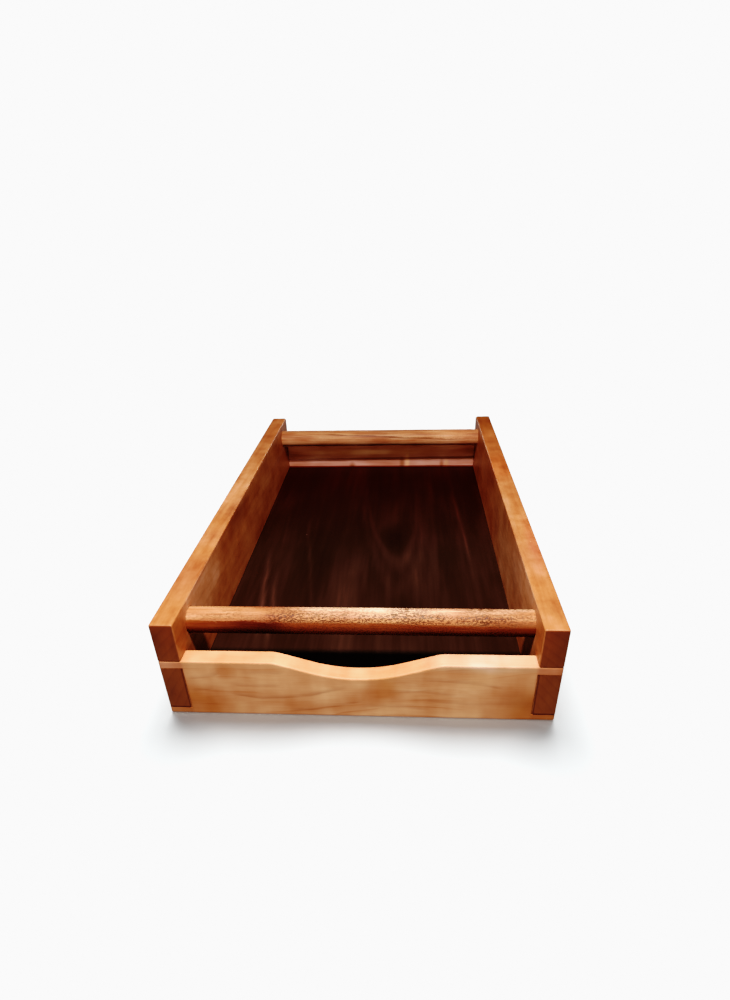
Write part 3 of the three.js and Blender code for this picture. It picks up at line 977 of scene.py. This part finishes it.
def floor():
    """Pale floor. It takes the drawer's soft shadow but throws no light back onto it."""
    size = 3.0
    mesh = bpy.data.meshes.new("floor")
    corners = [(-size, -size, 0), (size, -size, 0), (size, size, 0), (-size, size, 0)]
    mesh.from_pydata(corners, [], [(0, 1, 2, 3)])
    ground = link(bpy.data.objects.new("floor", mesh))
    ground.visible_diffuse = False
    ground.visible_glossy = False
    shader = Shader(bpy.data.materials.new("pale_floor"))
    surface = shader.node("ShaderNodeBsdfPrincipled", {
        "Base Color": tone(0.76, 0.80, 0.81), "Roughness": 0.9, "Specular IOR Level": 0.0,
        "Emission Color": tone(1.0, 1.0, 1.0), "Emission Strength": 0.03,
    })
    shader.node("ShaderNodeOutputMaterial", {"Surface": surface.outputs["BSDF"]})
    mesh.materials.append(shader.owner)
    return ground


def lamp(name, kind, place, target, energy, colour=(1.0, 1.0, 1.0)):
    data = bpy.data.lights.new(name, kind)
    data.energy = energy
    data.color = colour
    made = link(bpy.data.objects.new(name, data))
    made.location = place
    made.rotation_euler = (Vector(target) - Vector(place)).to_track_quat("-Z", "Y").to_euler()
    return made


def lights_only(light, thing, state):
    """Makes the light reach only this thing (INCLUDE) or all but this thing (EXCLUDE)."""
    receivers = bpy.data.collections.new(light.name + "_receivers")
    light.light_linking.receiver_collection = receivers
    receivers.objects.link(thing)
    receivers.collection_objects[0].light_linking.link_state = state


def studio(ground):
    """
    A small high key and a warm lamp for the rear board, low lamps round the outer faces, and a
    wash that throws the soft shadow. The drawer's lamps miss the floor, and the wash reaches
    nothing else, so the floor stays almost white.
    """
    key = lamp("key", "AREA", (0.0, -0.42, 0.80), (0.0, 0.0, 0.0), 12.0, (1.0, 0.86, 0.78))
    key.data.shape = "DISK"
    key.data.size = 0.11
    lights_only(key, ground, "EXCLUDE")
    warm_bounce = lamp("warm_bounce", "AREA", (0.0, -0.95, 0.27), (0.0, 0.0, 0.03), 1.8,
                       (1.0, 0.6, 0.2))
    warm_bounce.data.size = 0.4
    lights_only(warm_bounce, bpy.data.objects["rear_board_plank"], "INCLUDE")

    # The drawer's own boards keep the light of these low lamps from its inside.
    height = 48 * MM
    for number, (x, y) in enumerate(((-0.9, 0.0), (0.9, 0.0), (0.0, 1.05))):
        kicker = lamp(f"kicker_{number}", "AREA", (x, y, height), (0.0, 0.0, height), 2.0,
                      (1.0, 0.90, 0.82))
        kicker.data.shape = "RECTANGLE"
        kicker.data.size = 0.5
        kicker.data.size_y = 0.08
        kicker.visible_camera = False
        lights_only(kicker, ground, "EXCLUDE")

    floor_wash = lamp("floor_wash", "SUN", (-0.04, 0.45, 0.90), (0.0, 0.0, 0.0), 4.2)
    floor_wash.data.angle = math.radians(38)
    lights_only(floor_wash, ground, "INCLUDE")


SKY_BELOW = 0.48                  # brightness of the surroundings below the horizon
SKY_ABOVE = 0.22                  # and above it
HORIZON = 0.1                     # how far the two blend, up and down
MIRRORED_SHARE = 0.35             # what a glossy surface sees of them
BACKDROP = 1.1                    # what the camera sees


def surroundings():
    """White all round, brighter from below, dimmer in reflections, plain white to the camera."""
    s = Shader(bpy.data.worlds.new("studio"))
    direction = s.node("ShaderNodeSeparateXYZ", {0: s.coordinates.outputs["Generated"]})
    fill = s.band(direction.outputs["Z"], -HORIZON, HORIZON, SKY_BELOW, SKY_ABOVE)
    path = s.node("ShaderNodeLightPath")
    dimmed = s.times(fill, MIRRORED_SHARE)
    mirrored = s.between(path.outputs["Is Glossy Ray"], fill, dimmed)
    seen = s.between(path.outputs["Is Camera Ray"], mirrored, BACKDROP)
    backdrop = s.node("ShaderNodeBackground", {"Color": tone(1.0, 1.0, 1.0), "Strength": seen})
    s.node("ShaderNodeOutputWorld", {"Surface": backdrop.outputs["Background"]})
    bpy.context.scene.world = s.owner


def film():
    """Standard view with the film curve on all three colours."""
    combined = 3
    view = bpy.context.scene.view_settings
    view.view_transform = "Standard"
    view.use_curve_mapping = True
    curve = view.curve_mapping.curves[combined]
    curve.points[0].location = FILM_CURVE[0]
    curve.points[1].location = FILM_CURVE[-1]
    for point in FILM_CURVE[1:-1]:
        curve.points.new(*point)
    view.curve_mapping.extend = "HORIZONTAL"
    view.curve_mapping.update()


# The viewpoint of the photograph, found by fitting a camera to the drawer's corners and joints.
CAMERA_PLACE = (0.03666, -0.60646, 0.36432)
CAMERA_TURN = (57.960, 1.711, 3.364)  # degrees about X, Y and Z
CAMERA_LENS = 21.203                  # millimetres
SENSOR = 36.0                         # millimetres along the picture's longer side
CAMERA_SHIFT = 0.07                   # upward, as a share of that side


def camera():
    data = bpy.data.cameras.new("camera")
    data.lens = CAMERA_LENS
    data.sensor_width = SENSOR
    data.shift_y = CAMERA_SHIFT
    data.clip_start = 0.01
    seat = link(bpy.data.objects.new("camera", data))
    seat.location = CAMERA_PLACE
    seat.rotation_euler = [math.radians(turn) for turn in CAMERA_TURN]
    bpy.context.scene.camera = seat


studio(floor())
surroundings()
film()
camera()
